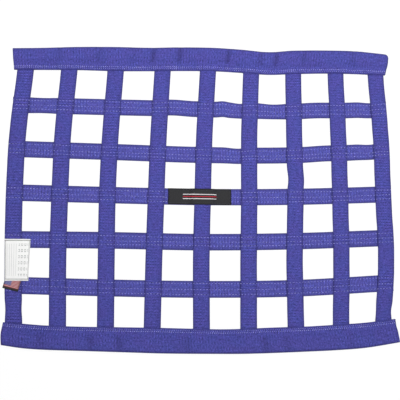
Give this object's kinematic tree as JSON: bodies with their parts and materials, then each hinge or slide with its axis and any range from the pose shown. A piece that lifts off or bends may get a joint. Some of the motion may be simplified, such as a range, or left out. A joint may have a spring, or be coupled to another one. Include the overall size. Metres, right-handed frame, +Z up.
{
  "type": "racing window net",
  "caption": "Window net of blue webbing straps sewn in a grid, with a folded rod sleeve along the top and bottom edge, a plain patch, a bare tag and a flag tab.",
  "frame": {"origin": "on the surface that the net lies on, under the middle of the net's box", "axes": "+Z up through the net's front face, +Y towards the top sleeve, +X along the sleeves to the right as seen from the front"},
  "size_m": [0.6058, 0.482, 0.008],
  "materials": {
    "upright_webbing": "matt ribbed weave",
    "cross_webbing": "matt ribbed weave",
    "sleeve_webbing": "matt ribbed weave",
    "patch_cloth": "matt woven label",
    "tag_cloth": "smooth coated satin",
    "flag_tab_cloth": "fine woven label"
  },
  "bodies": {
    "root": {"strap_cross_1": "cross_webbing", "strap_cross_2": "cross_webbing", "strap_cross_3": "cross_webbing", "strap_cross_4": "cross_webbing", "strap_cross_5": "cross_webbing", "strap_up_1": "upright_webbing", "strap_up_2": "upright_webbing", "strap_up_3": "upright_webbing", "strap_up_4": "upright_webbing", "strap_up_5": "upright_webbing", "strap_up_6": "upright_webbing", "strap_up_7": "upright_webbing", "strap_up_8": "upright_webbing", "strap_up_9": "upright_webbing", "sleeve_top": "sleeve_webbing", "sleeve_bottom": "sleeve_webbing", "centre_patch": "patch_cloth", "flag_tab": "flag_tab_cloth", "side_tag": "tag_cloth"}
  },
  "joints": []
}
